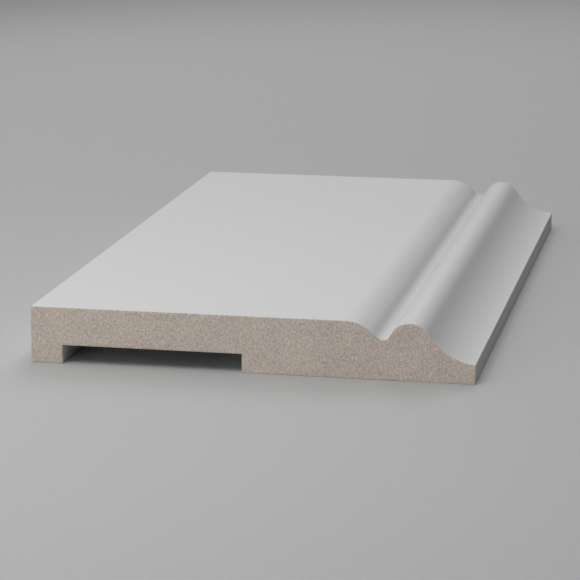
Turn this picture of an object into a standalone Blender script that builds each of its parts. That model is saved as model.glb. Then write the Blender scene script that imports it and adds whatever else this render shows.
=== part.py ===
"""A short length of moulded skirting board, lying on its back with its face up.

The board is one piece of MDF, moulded by a cutter along its whole length, primed white and sawn square at both
ends. Across the face run a plain stretch, an ovolo, a groove, a bead and a cove that falls to the thin top edge.
A shallow channel in the back leaves a narrow foot along the floor edge and a broad pad behind the moulding.

X runs across the board from its floor edge to its top edge, Y along its length, and Z from its back to its face.
The origin is in the plane of the back, under the middle of the board. Lengths are in metres.
"""

import math

import bmesh
import bpy

# The planed board
BOARD_WIDTH = 0.140
BOARD_THICKNESS = 0.018
BOARD_LENGTH = 0.250

# The channel in the back
FOOT_WIDTH = 0.010
CHANNEL_WIDTH = 0.0575
CHANNEL_DEPTH = 0.006

# The moulding, set out from the top edge
TOP_EDGE_THICKNESS = 0.006
COVE_RADIUS = 0.0193
BEAD_SLANT = 0.0023
BEAD_SETBACK = 0.0202
BEAD_RADIUS = 0.0066
BEAD_SHOULDER = math.radians(45.5)
GROOVE_WALL_SLOPE = math.radians(56.5)
GROOVE_DEPTH = 0.00545
GROOVE_TOE_RADIUS = 0.00125
GROOVE_FLOOR = 0.00075
GROOVE_HEEL_RADIUS = 0.003
OVOLO_RADIUS = 0.0117

# Arcs are cut into steps of this angle, and an edge sharper than the crease angle is shaded as an edge
ARC_STEP = math.radians(3)
CREASE = math.radians(9)

# Linear colours of the two surfaces
PRIMER_WHITE = (0.80, 0.80, 0.79, 1.0)
SAWN_MDF = (0.42, 0.35, 0.28, 1.0)


def arc(centre, radius, start, end):
    """Points round centre from one angle to another, both measured clockwise from straight up."""
    steps = max(2, math.ceil(abs(end - start) / ARC_STEP))
    angles = [start + (end - start) * i / steps for i in range(steps + 1)]
    return [(centre[0] + radius * math.sin(a), centre[1] + radius * math.cos(a)) for a in angles]


def crossing(first, first_radius, second, second_radius):
    """The upper of the two points that lie first_radius from first and second_radius from second."""
    across, up = second[0] - first[0], second[1] - first[1]
    apart = math.hypot(across, up)
    along = (first_radius**2 - second_radius**2 + apart**2) / (2 * apart)
    aside = math.sqrt(first_radius**2 - along**2)
    return (
        first[0] + (along * across - aside * up) / apart,
        first[1] + (along * up + aside * across) / apart,
    )


def bead_and_cove():
    """The bead, level with the plain face, a short straight slant off it, and the cove down to the top edge."""
    top_corner = (BOARD_WIDTH / 2, TOP_EDGE_THICKNESS)
    bead = (BOARD_WIDTH / 2 - BEAD_SETBACK, BOARD_THICKNESS - BEAD_RADIUS)
    radii = BEAD_RADIUS + COVE_RADIUS
    cove = crossing(bead, math.hypot(radii, BEAD_SLANT), top_corner, COVE_RADIUS)
    bead_end = math.atan2(cove[0] - bead[0], cove[1] - bead[1]) - math.atan2(BEAD_SLANT, radii)
    cove_end = math.asin((top_corner[0] - cove[0]) / COVE_RADIUS)
    round_bead = arc(bead, BEAD_RADIUS, -BEAD_SHOULDER, bead_end)
    hollow_cove = arc(cove, COVE_RADIUS, math.pi + bead_end, math.pi - cove_end)
    return round_bead + hollow_cove


def groove(shoulder):
    """The groove from its heel to the bead's shoulder: a wide fillet, a narrow floor, a tight fillet, a wall."""
    floor = BOARD_THICKNESS - GROOVE_DEPTH
    toe_rise = 1 - math.cos(GROOVE_WALL_SLOPE)
    toe_radius = min(GROOVE_TOE_RADIUS, (shoulder[1] - floor) / toe_rise / 2)
    wall_rise = shoulder[1] - floor - toe_radius * toe_rise
    wall_foot = shoulder[0] - wall_rise / math.tan(GROOVE_WALL_SLOPE)
    toe = (wall_foot - toe_radius * math.sin(GROOVE_WALL_SLOPE), floor + toe_radius)
    heel = (toe[0] - GROOVE_FLOOR, floor + GROOVE_HEEL_RADIUS)
    heel_turn = math.acos(1 - GROOVE_DEPTH / (OVOLO_RADIUS + GROOVE_HEEL_RADIUS))
    heel_arc = arc(heel, GROOVE_HEEL_RADIUS, math.pi + heel_turn, math.pi)
    toe_arc = arc(toe, toe_radius, math.pi, math.pi - GROOVE_WALL_SLOPE)
    return heel_arc + toe_arc, heel, heel_turn


def ovolo(heel, heel_turn):
    """The quarter-like round that rolls off the plain face and meets the groove's heel smoothly."""
    reach = (OVOLO_RADIUS + GROOVE_HEEL_RADIUS) * math.sin(heel_turn)
    centre = (heel[0] - reach, BOARD_THICKNESS - OVOLO_RADIUS)
    return arc(centre, OVOLO_RADIUS, 0, heel_turn)


def outline():
    """The board's section as (x, z) points, from the foot round the face and back through the channel."""
    floor_edge = -BOARD_WIDTH / 2
    foot = floor_edge + FOOT_WIDTH
    pad = foot + CHANNEL_WIDTH
    bead = bead_and_cove()
    hollow, heel, heel_turn = groove(bead[0])
    face = ovolo(heel, heel_turn) + hollow[1:] + bead
    back = [(BOARD_WIDTH / 2, 0), (pad, 0), (pad, CHANNEL_DEPTH), (foot, CHANNEL_DEPTH), (foot, 0)]
    return [(floor_edge, 0), (floor_edge, BOARD_THICKNESS)] + face + back


def finish(name, colour, roughness):
    """A plain matt finish."""
    material = bpy.data.materials.new(name)
    material.use_nodes = True
    shader = material.node_tree.nodes["Principled BSDF"]
    shader.inputs["Base Color"].default_value = colour
    shader.inputs["Roughness"].default_value = roughness
    shader.inputs["Metallic"].default_value = 0.0
    return material


def skirting_board():
    """The section drawn out along the length: primed all round, bare where it is sawn off."""
    shape = bmesh.new()
    section = [shape.verts.new((x, -BOARD_LENGTH / 2, z)) for x, z in outline()]
    sawn_end = shape.faces.new(section)
    drawn = bmesh.ops.extrude_face_region(shape, geom=[sawn_end])
    far_end = [part for part in drawn["geom"] if isinstance(part, bmesh.types.BMVert)]
    bmesh.ops.translate(shape, verts=far_end, vec=(0, BOARD_LENGTH, 0))
    bmesh.ops.recalc_face_normals(shape, faces=shape.faces)
    shape.normal_update()
    for face in shape.faces:
        face.material_index = 1 if abs(face.normal.y) > 0.5 else 0

    mesh = bpy.data.meshes.new("skirting_board")
    shape.to_mesh(mesh)
    shape.free()
    mesh.materials.append(finish("primed_mdf", PRIMER_WHITE, 0.55))
    mesh.materials.append(finish("sawn_mdf", SAWN_MDF, 0.9))
    mesh.shade_smooth()
    mesh.set_sharp_from_angle(angle=CREASE)
    board = bpy.data.objects.new("skirting_board", mesh)
    bpy.context.scene.collection.objects.link(board)


for old in list(bpy.data.objects):
    bpy.data.objects.remove(old)
skirting_board()
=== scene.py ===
import math

import bpy
import numpy as np
from mathutils import Euler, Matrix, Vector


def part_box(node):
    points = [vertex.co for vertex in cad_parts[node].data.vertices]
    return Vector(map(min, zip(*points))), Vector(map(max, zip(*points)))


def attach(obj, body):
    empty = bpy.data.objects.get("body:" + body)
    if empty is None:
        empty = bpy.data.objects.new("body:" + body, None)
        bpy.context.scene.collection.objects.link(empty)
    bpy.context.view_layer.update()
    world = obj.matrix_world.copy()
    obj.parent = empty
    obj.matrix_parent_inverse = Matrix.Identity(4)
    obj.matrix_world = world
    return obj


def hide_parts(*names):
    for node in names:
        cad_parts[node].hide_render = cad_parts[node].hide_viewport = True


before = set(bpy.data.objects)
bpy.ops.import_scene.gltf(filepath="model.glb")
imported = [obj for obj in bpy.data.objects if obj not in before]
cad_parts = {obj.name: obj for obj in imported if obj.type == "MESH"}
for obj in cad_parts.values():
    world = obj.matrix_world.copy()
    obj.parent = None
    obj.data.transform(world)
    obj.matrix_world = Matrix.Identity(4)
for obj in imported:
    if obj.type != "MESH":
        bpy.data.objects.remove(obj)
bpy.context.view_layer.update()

# The skirting board is one length of fibreboard, milled to its section by a cutter and primed white on its long
# faces. It lies on its back, with the plain face up, the moulded top edge to the right and a shallow channel
# ploughed in the back. Both ends are square saw cuts.
(FLOOR_EDGE, NEAR_END, BACK), (TOP_EDGE, FAR_END, FACE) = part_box("skirting_board")
FOOT_WIDTH = 0.010
CHANNEL_WIDTH = 0.0575
CHANNEL_DEPTH = 0.006
TOP_EDGE_THICKNESS = 0.006
COVE_RADIUS = 0.0193
BEAD_SLANT = 0.0023
BEAD_SETBACK = 0.0202
BEAD_RADIUS = 0.0066
BEAD_SHOULDER = math.radians(45.5)
GROOVE_WALL_SLOPE = math.radians(56.5)
GROOVE_DEPTH = 0.00545
GROOVE_TOE_RADIUS = 0.00125
GROOVE_FLOOR = 0.00075
GROOVE_HEEL_RADIUS = 0.003
OVOLO_RADIUS = 0.0117

# Every edge is eased by an arris. The steps are how finely the board is cut into faces, the rows run from the back
# to the face, and a bend up to the last angle is shaded round.
ARRIS = 0.00012
FLAT_STEP = 0.0006
ROUND_STEP = 0.00028
LENGTH_STEP = 0.005
ROOF_ROW = 12
FACE_ROW = 36
SHARPEST_ROUND = math.radians(35)


def stretch(start, end, step):
    """Evenly spaced numbers from start to end, no further apart than step."""
    return np.linspace(start, end, math.ceil(abs(end - start) / step) + 1)


def arc(centre, radius, start, end):
    """Points at centre + radius (sin a, cos a), for the angles a from start to end, clockwise from straight up."""
    angle = stretch(start, end, ROUND_STEP / radius)
    return np.column_stack([centre[0] + radius * np.sin(angle), centre[1] + radius * np.cos(angle)])


def moulding():
    """The moulded stretch of the face as (x, z) points: ovolo, groove, bead and cove, worked out from the top edge.

    The bead is a circle level with the plain face. A short straight slant leaves it smoothly and runs as smoothly
    into the cove, a circle through the top edge's corner. So the cove's centre lies one cove radius from the
    corner, and the hypotenuse of both radii and the slant from the bead's centre. The groove's toe and heel
    fillets stand on its floor, and the ovolo's circle touches the heel's from outside.
    """
    corner = np.array([TOP_EDGE, BACK + TOP_EDGE_THICKNESS])
    bead = np.array([TOP_EDGE - BEAD_SETBACK, FACE - BEAD_RADIUS])
    apart = np.hypot(*(corner - bead))
    towards = (corner - bead) / apart
    reach = math.hypot(BEAD_RADIUS + COVE_RADIUS, BEAD_SLANT)
    along = (reach**2 - COVE_RADIUS**2 + apart**2) / (2 * apart)
    aside = math.sqrt(reach**2 - along**2)
    cove = bead + along * towards + aside * np.array([-towards[1], towards[0]])
    bead_end = math.atan2(*(cove - bead)) - math.asin(BEAD_SLANT / reach)
    cove_end = math.asin((corner[0] - cove[0]) / COVE_RADIUS)
    round_bead = arc(bead, BEAD_RADIUS, -BEAD_SHOULDER, bead_end)
    hollow_cove = arc(cove, COVE_RADIUS, math.pi + bead_end, math.pi - cove_end)
    slant = round_bead[-1] + stretch(0, 1, ROUND_STEP / BEAD_SLANT)[1:-1, None] * (hollow_cove[0] - round_bead[-1])

    floor = FACE - GROOVE_DEPTH
    shoulder = round_bead[0]
    wall_rise = shoulder[1] - floor - GROOVE_TOE_RADIUS * (1 - math.cos(GROOVE_WALL_SLOPE))
    wall_foot = shoulder[0] - wall_rise / math.tan(GROOVE_WALL_SLOPE)
    toe = np.array([wall_foot - GROOVE_TOE_RADIUS * math.sin(GROOVE_WALL_SLOPE), floor + GROOVE_TOE_RADIUS])
    heel = np.array([toe[0] - GROOVE_FLOOR, floor + GROOVE_HEEL_RADIUS])
    turn = math.acos(1 - GROOVE_DEPTH / (OVOLO_RADIUS + GROOVE_HEEL_RADIUS))
    toe_arc = arc(toe, GROOVE_TOE_RADIUS, math.pi, math.pi - GROOVE_WALL_SLOPE)
    wall_steps = stretch(0, 1, ROUND_STEP / wall_rise)[1:-1, None]
    wall = toe_arc[-1] + wall_steps * (shoulder - toe_arc[-1])
    heel_arc = arc(heel, GROOVE_HEEL_RADIUS, math.pi + turn, math.pi)
    setback = (OVOLO_RADIUS + GROOVE_HEEL_RADIUS) * math.sin(turn)
    ovolo = arc((heel[0] - setback, FACE - OVOLO_RADIUS), OVOLO_RADIUS, 0, turn)
    return np.concatenate([ovolo, heel_arc[1:], toe_arc, wall, round_bead, slant, hollow_cove])


def section():
    """Columns of points (x, z) across the board, each running from the back up to the face.

    Every column has the same rows. Two rows or columns an arris apart follow each edge, and one row follows the
    channel's roof, so that the cells in the channel can be left out. Each corner is drawn inwards onto a circle of
    an arris's radius. Returns the points and the two columns that are the channel's walls.
    """
    foot = FLOOR_EDGE + FOOT_WIDTH
    pad = foot + CHANNEL_WIDTH
    moulded = moulding()
    knots = [FLOOR_EDGE, FLOOR_EDGE + ARRIS, foot - ARRIS, foot, pad, pad + ARRIS, moulded[0, 0]]
    plain = np.concatenate([stretch(a, b, FLAT_STEP)[:-1] for a, b in zip(knots[:-1], knots[1:])])
    across = np.concatenate([plain, moulded[:-1, 0], [TOP_EDGE - ARRIS, TOP_EDGE]])
    top = np.interp(across, moulded[:, 0], moulded[:, 1])
    slope = np.gradient(top, across)
    below = ARRIS * np.sqrt(1 + slope**2)
    roof = BACK + (top - BACK) * CHANNEL_DEPTH / (FACE - BACK)
    levels = [np.full_like(top, BACK), np.full_like(top, BACK + ARRIS), roof, roof + ARRIS, top - below, top]
    knot_rows = [0, 1, ROOF_ROW, ROOF_ROW + 1, FACE_ROW - 1, FACE_ROW]
    rows = np.arange(FACE_ROW + 1)
    share = np.array([np.interp(rows, knot_rows, one) for one in np.eye(len(knot_rows))])
    points = np.stack([np.broadcast_to(across[:, None], (len(across), len(rows))), np.stack(levels, 1) @ share], 2)
    foot_column, pad_column = np.searchsorted(across, [foot - ARRIS / 2, pad - ARRIS / 2])
    ease = ARRIS * (1 - math.sqrt(0.5))
    inward = {
        (0, 0): (1, 1), (0, -1): (1, -1), (-1, 0): (-1, 1), (-1, -1): (-1, -1),
        (foot_column, 0): (-1, 1), (pad_column, 0): (1, 1),
    }
    for corner, way in inward.items():
        points[corner] += np.array(way) * ease
    return points, foot_column, pad_column


# The sawn ends: the fuzz that the blade tears up, the pitch and depth of its arcs, and how far below the board's
# back and how far to either side its axle may lie
SAW_SEED = 11
FUZZ_WAVES = 90
FUZZ_DEPTH = 0.00004
FUZZ_LENGTHS = (0.0012, 0.006)
SAW_PITCH = 0.0019
SAW_DEPTH = 0.00001
AXLE_BELOW = 0.1125
AXLE_WANDER = 0.02


def saw_cut(points, seed):
    """How far the sawn end lies behind its plane: fuzz, a sum of waves in all directions, and the saw's faint arcs.

    Wave k adds cos(pull k . point + phase k), and the sum is scaled to a spread of one. The arcs are the cosine of
    the distance from the blade's axle, once round for each pitch.
    """
    rng = np.random.default_rng(seed)
    angle = rng.uniform(0, math.pi, FUZZ_WAVES)
    length = np.exp(rng.uniform(*np.log(FUZZ_LENGTHS), FUZZ_WAVES))
    phase = rng.uniform(0, 2 * math.pi, FUZZ_WAVES)
    pull = 2 * math.pi / length * np.array([np.cos(angle), np.sin(angle)])
    fuzz = np.cos(points @ pull + phase).sum(-1) / math.sqrt(FUZZ_WAVES / 2)
    axle = np.array([rng.uniform(-AXLE_WANDER, AXLE_WANDER), -AXLE_BELOW])
    reach = np.hypot(*np.moveaxis(points - axle, -1, 0))
    marks = np.cos(2 * math.pi * reach / SAW_PITCH)
    return FUZZ_DEPTH * np.clip(1 + fuzz / 2, 0, 2) + SAW_DEPTH * (1 + marks)


def board_mesh():
    """The section carried from the near end to the far one, and closed by a grid of faces at each sawn end."""
    points, foot_column, pad_column = section()
    columns, rows = points.shape[:2]
    column, row = np.meshgrid(np.arange(columns), np.arange(rows), indexing="ij")
    open_air = (column > foot_column) & (column < pad_column) & (row < ROOF_ROW)
    number = np.cumsum(~open_air).reshape(open_air.shape) - 1
    flat = points[~open_air]

    left = [(0, r) for r in range(rows - 1)]
    top = [(c, rows - 1) for c in range(columns - 1)]
    right = [(columns - 1, r) for r in range(rows - 1, 0, -1)]
    pad = [(c, 0) for c in range(columns - 1, pad_column, -1)]
    pad_wall = [(pad_column, r) for r in range(ROOF_ROW)]
    roof = [(c, ROOF_ROW) for c in range(pad_column, foot_column, -1)]
    foot_wall = [(foot_column, r) for r in range(ROOF_ROW, 0, -1)]
    foot = [(c, 0) for c in range(foot_column, 0, -1)]
    rim_cells = np.array(left + top + right + pad + pad_wall + roof + foot_wall + foot)
    rim = number[rim_cells[:, 0], rim_cells[:, 1]]

    verts = []
    for end, inward, seed in ((NEAR_END, 1, SAW_SEED), (FAR_END, -1, SAW_SEED + 1)):
        depth = saw_cut(flat, seed)
        depth[rim] += ARRIS / 2
        verts.append(np.column_stack([flat[:, 0], end + inward * depth, flat[:, 1]]))
    near, far = rim, rim + len(flat)
    stations = stretch(NEAR_END, FAR_END, LENGTH_STEP)[1:-1]
    for y in stations:
        verts.append(np.column_stack([flat[rim, 0], np.full(len(rim), y), flat[rim, 1]]))
    loops = [near] + [2 * len(flat) + i * len(rim) + np.arange(len(rim)) for i in range(len(stations))] + [far]

    c, r = column[:-1, :-1], row[:-1, :-1]
    solid = ~((c >= foot_column) & (c < pad_column) & (r < ROOF_ROW))
    c, r = c[solid], r[solid]
    near_cap = np.column_stack([number[c, r], number[c + 1, r], number[c + 1, r + 1], number[c, r + 1]])
    far_cap = near_cap[:, ::-1] + len(flat)
    sides = [np.column_stack([a, np.roll(a, -1), np.roll(b, -1), b]) for a, b in zip(loops[:-1], loops[1:])]
    faces = np.concatenate([near_cap, far_cap] + sides)

    mesh = bpy.data.meshes.new("board")
    mesh.from_pydata(np.concatenate(verts).tolist(), [], faces.tolist())
    sawn = np.zeros(len(faces), dtype=np.int32)
    sawn[: 2 * len(near_cap)] = 1
    mesh.polygons.foreach_set("material_index", sawn)
    mesh.shade_smooth()
    mesh.set_sharp_from_angle(angle=SHARPEST_ROUND)
    mesh.validate()
    return mesh


class Wire:
    """One socket of a material, to be reckoned with as a number: each operation on it adds a Math node.

    add is the way to any other node. It sets the node up first and then feeds its sockets.
    """

    def __init__(self, tree, socket=None):
        self.tree = tree
        self.socket = socket

    def add(self, kind, settings=None, feeds=None, output=0):
        node = self.tree.nodes.new(kind)
        for name, setting in (settings or {}).items():
            setattr(node, name, setting)
        for name, feed in (feeds or {}).items():
            if isinstance(feed, Wire):
                self.tree.links.new(feed.socket, node.inputs[name])
            else:
                node.inputs[name].default_value = feed
        return Wire(self.tree, node.outputs[output])

    def reckon(self, operation, *terms):
        return self.add("ShaderNodeMath", {"operation": operation}, dict(enumerate(terms)))

    def __add__(self, other):
        return self.reckon("ADD", self, other)

    def __sub__(self, other):
        return self.reckon("SUBTRACT", self, other)

    def __rsub__(self, other):
        return self.reckon("SUBTRACT", other, self)

    def __mul__(self, other):
        return self.reckon("MULTIPLY", self, other)

    __radd__ = __add__
    __rmul__ = __mul__

    def ramp(self, low, high):
        """0 at low and before it, 1 at high and past it, and a smooth change between. High may be the smaller."""
        feeds = {"Value": self, "From Min": low, "From Max": high}
        return self.add("ShaderNodeMapRange", {"interpolation_type": "SMOOTHSTEP"}, feeds)

    def blend(self, first, second):
        """The first colour where this wire is 0 and the second where it is 1."""
        return self.add("ShaderNodeMix", {"data_type": "RGBA"}, {0: self, 6: first, 7: second}, 2)

    def scaled(self, factor):
        """A vector times a number, or times a vector axis by axis."""
        factor = factor if isinstance(factor, tuple) else (factor,) * 3
        return self.add("ShaderNodeVectorMath", {"operation": "MULTIPLY"}, {0: self, 1: factor})

    def shifted(self, step):
        """A vector plus a fixed step."""
        return self.add("ShaderNodeVectorMath", {"operation": "ADD"}, {0: self, 1: step})

    def axis(self, name):
        """One axis of a vector."""
        return self.add("ShaderNodeSeparateXYZ", None, {"Vector": self}, name)

    def noise(self, per_mm, detail=2.0, roughness=0.5):
        """Cloudy noise about 0.5, with per_mm features to the millimetre at this place in millimetres."""
        feeds = {"Vector": self, "Scale": per_mm, "Detail": detail, "Roughness": roughness}
        return self.add("ShaderNodeTexNoise", None, feeds)


MM_PER_METRE = 1000.0


def matt(name, roughness, shine):
    """A new non-metal material. Returns it, its shader and the place on the piece in millimetres."""
    material = bpy.data.materials.new(name)
    material.use_nodes = True
    shader = material.node_tree.nodes["Principled BSDF"]
    shader.inputs["Roughness"].default_value = roughness
    shader.inputs["Specular IOR Level"].default_value = shine
    place = Wire(material.node_tree).add("ShaderNodeTexCoord", output="Object")
    return material, shader, place.scaled(MM_PER_METRE)


def finish(shader, colour, height, depth):
    """Feeds the colour, and the height in units of depth metres as a bump."""
    bump = height.add("ShaderNodeBump", None, {"Height": height, "Distance": depth, "Strength": 1.0})
    height.tree.links.new(colour.socket, shader.inputs["Base Color"])
    height.tree.links.new(bump.socket, shader.inputs["Normal"])


# The primer where its coat is full, where it is thin and where painted shade darkens it, and the height of its
# relief in metres
PRIMER = (0.665, 0.665, 0.665, 1.0)
THIN_AND_SHADED_PRIMER = (0.59, 0.59, 0.59, 1.0)
PRIMER_RELIEF = 0.000012
# How thin the coat is, from 0 for full to 1: all over and behind, where it is patchy too, with painted shade in the
# groove. Clouds, streaks and stipple make it a little thicker or thinner.
THIN_ALL_OVER = 0.12
PAINTED_GROOVE_SHADE = 0.9
THIN_BEHIND = 0.1
PATCHES_BEHIND = 0.7
CLOUDS = 0.12
STREAKS = 0.08
STIPPLE = 0.3
STREAK_RELIEF = 0.4
# How much finer the streaks and the patches are on each axis: both are drawn out along the board
STREAK_STRETCH = (1.8, 0.015, 1.8)
PATCH_STRETCH = (1.0, 0.25, 1.0)
# The groove's painted shade sets in and fades out so far from the top edge, in millimetres. A face counts as
# behind, or as the floor or flank of the groove, by how far it faces up.
GROOVE_SHADE_STARTS = (33.2, 31.4)
GROOVE_SHADE_ENDS = (19.0, 23.5)
FACES_DOWN = (-0.3, -0.9)
FACES_UP = (0.1, 0.4)


def white_primer():
    """Sprayed primer, matt and white, with a fine stipple and faint streaks along the board.

    The coat is thinner behind. From the ovolo's steep foot to the bead, painted shade darkens the groove's upward
    faces.
    """
    material, shader, mm = matt("white_primer", roughness=0.7, shine=0.12)
    cloud = mm.noise(per_mm=0.03)
    streak = mm.scaled(STREAK_STRETCH).noise(per_mm=1.0)
    facing = mm.add("ShaderNodeTexCoord", output="Normal").axis("Z")
    behind = facing.ramp(*FACES_DOWN)
    patchy = mm.scaled(PATCH_STRETCH).noise(per_mm=0.12, detail=3.0, roughness=0.6).ramp(low=0.3, high=0.75)
    setback = TOP_EDGE * MM_PER_METRE - mm.axis("X")
    # Painted shade: from the ovolo's foot to the bead, the groove's upward faces are darkened towards the thin
    # primer.
    groove_shade = facing.ramp(*FACES_UP) * setback.ramp(*GROOVE_SHADE_STARTS) * setback.ramp(*GROOVE_SHADE_ENDS)
    stipple = mm.noise(per_mm=0.9, detail=3.0, roughness=0.6)
    coat = (cloud - 0.5) * CLOUDS + (streak - 0.5) * STREAKS + (stipple - 0.5) * STIPPLE + THIN_ALL_OVER
    # The groove's share here is painted shade. The parts behind and all over are the coat's own thinness.
    thin_and_shade = behind * (patchy * PATCHES_BEHIND + THIN_BEHIND) + groove_shade * PAINTED_GROOVE_SHADE + coat
    colour = thin_and_shade.blend(PRIMER, THIN_AND_SHADED_PRIMER)
    finish(shader, colour, stipple + streak * STREAK_RELIEF + behind * streak, PRIMER_RELIEF)
    return material


# The darkest and the lightest fibre, the height of the felt's relief in metres, and the degrees by which the sets
# of strands lean from upright
DARK_FIBRE = (0.305, 0.256, 0.219, 1.0)
LIGHT_FIBRE = (0.715, 0.629, 0.557, 1.0)
FIBRE_RELIEF = 0.00006
FIBRE_LEANS = (4, -14, 38)
# The tone is 0 for the darkest fibre and 1 for the lightest: its middle, and how much each part of the felt adds to
# it or takes away
MIDDLE_TONE = 0.487
FELT = 0.95
DUST = 1.2
CLOUD = 0.25
STRANDS = 0.19
FLAKES = 0.42
PORES = 0.3
# Steps in millimetres that keep the dust and the flakes from following the felt and the pores, and how much finer
# the felt and the strands are on each axis
DUST_STEP = (0.0, 0.0, 70.0)
FLAKE_STEP = (40.0, 0.0, 0.0)
FELT_STRETCH = (1.2, 1.0, 0.5)
STRAND_STRETCH = (3.4, 1.0, 0.6)


def sawn_fibreboard():
    """Bare fibreboard where the saw went through, a felt of short fibres.

    Its grain, dust and crossed strands are noises, with dark pores and light flakes strewn over a soft cloud.
    """
    material, shader, mm = matt("sawn_fibreboard", roughness=0.9, shine=0.1)
    felt = mm.scaled(FELT_STRETCH).noise(per_mm=2.0, roughness=0.75)
    dust = mm.shifted(DUST_STEP).noise(per_mm=4.5, detail=0.0)
    strands = 0.0
    for lean in FIBRE_LEANS:
        turned = mm.add("ShaderNodeMapping", None, {"Vector": mm, "Rotation": (0, math.radians(lean), 0)})
        strand = turned.scaled(STRAND_STRETCH).noise(per_mm=1.0, detail=1.0)
        strands = strands + (strand.ramp(low=0.58, high=0.74) - strand.ramp(low=0.42, high=0.26)) * STRANDS
    pores = mm.noise(per_mm=2.1, detail=1.0).ramp(low=0.66, high=0.74)
    flakes = mm.shifted(FLAKE_STEP).noise(per_mm=1.7, detail=1.0).ramp(low=0.68, high=0.77)
    cloud = mm.noise(per_mm=0.11)
    grain = (felt - 0.5) * FELT + (dust - 0.5) * DUST + (cloud - 0.5) * CLOUD
    tone = grain + strands + flakes * FLAKES - pores * PORES + MIDDLE_TONE
    colour = tone.blend(DARK_FIBRE, LIGHT_FIBRE)
    finish(shader, colour, felt + strands - pores, FIBRE_RELIEF)
    return material


board = bpy.data.objects.new("board", board_mesh())
bpy.context.scene.collection.objects.link(board)
board.data.materials.append(white_primer())
board.data.materials.append(sawn_fibreboard())
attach(board, "root")
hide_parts("skirting_board")

# The floor is a plain, pale grey sheet. The board lies on it by its own weight, and the sheet is a hair lower than
# the board's back, so that the two faces never share a plane.
FLOOR_SIZE = 6.0
FLOOR_GAP = 0.00005
FLOOR_COLOUR = (0.48, 0.48, 0.48, 1.0)


def floor_sheet():
    """A square of one face just under the board's back."""
    half = FLOOR_SIZE / 2
    z = BACK - FLOOR_GAP
    mesh = bpy.data.meshes.new("floor")
    corners = [(-half, -half, z), (half, -half, z), (half, half, z), (-half, half, z)]
    mesh.from_pydata(corners, [], [(0, 1, 2, 3)])
    material, shader = matt("pale_floor", roughness=0.8, shine=0.3)[:2]
    shader.inputs["Base Color"].default_value = FLOOR_COLOUR
    mesh.materials.append(material)
    return mesh


floor = bpy.data.objects.new("floor", floor_sheet())
bpy.context.scene.collection.objects.link(floor)

# The light is soft: a dim white room and a few softboxes. Long strips hang over the board and to its left, and
# smaller boxes in front, behind and near its corner. Each has its place, its height, its width and its watts.
SOFTBOXES = {
    "overhead": ((0.10, 0.0, 0.80), 0.3, 1.6, 3.1),
    "left": ((-0.40, 0.0, 0.25), 0.2, 1.6, 0.77),
    "near_top": ((-0.15, -0.30, 0.40), 0.3, 0.3, 0.81),
    "low_front": ((-0.30, -1.10, 0.09), 0.15, 0.6, 3.08),
    "back": ((-0.10, 1.00, 0.80), 0.6, 0.6, 4.0),
}

for name, (place, height, width, watts) in SOFTBOXES.items():
    lamp = bpy.data.lights.new(name, "AREA")
    lamp.shape = "RECTANGLE"
    lamp.size = height
    lamp.size_y = width
    lamp.energy = watts
    softbox = bpy.data.objects.new(name, lamp)
    softbox.location = place
    softbox.rotation_euler = (-softbox.location).to_track_quat("-Z", "X").to_euler()
    bpy.context.scene.collection.objects.link(softbox)

ROOM_COLOUR = (1.0, 1.0, 1.0, 1.0)
ROOM_STRENGTH = 0.06

world = bpy.data.worlds.new("studio")
world.use_nodes = True
world.node_tree.nodes["Background"].inputs["Color"].default_value = ROOM_COLOUR
world.node_tree.nodes["Background"].inputs["Strength"].default_value = ROOM_STRENGTH
bpy.context.scene.world = world
bpy.context.scene.view_settings.view_transform = "Standard"

# The camera looks along the board from in front and above, from the side of its top edge, through a long lens.
# It turns left of straight ahead, dips below level and rolls a trace, in that order.
CAMERA_PLACE = (0.15494, -0.84412, 0.19148)
CAMERA_TURN = math.radians(11.190)
CAMERA_DIP = math.radians(12.652)
CAMERA_ROLL = math.radians(0.076)
CAMERA_LENS = 152.63
SENSOR_WIDTH = 36.0

camera_data = bpy.data.cameras.new("camera")
camera_data.sensor_width = SENSOR_WIDTH
camera_data.lens = CAMERA_LENS
camera = bpy.data.objects.new("camera", camera_data)
camera.location = CAMERA_PLACE
turn = Euler((0, 0, CAMERA_TURN)).to_matrix()
dip = Euler((math.pi / 2 - CAMERA_DIP, 0, 0)).to_matrix()
roll = Euler((0, 0, CAMERA_ROLL)).to_matrix()
camera.rotation_euler = (turn @ dip @ roll).to_euler()
bpy.context.scene.collection.objects.link(camera)
bpy.context.scene.camera = camera
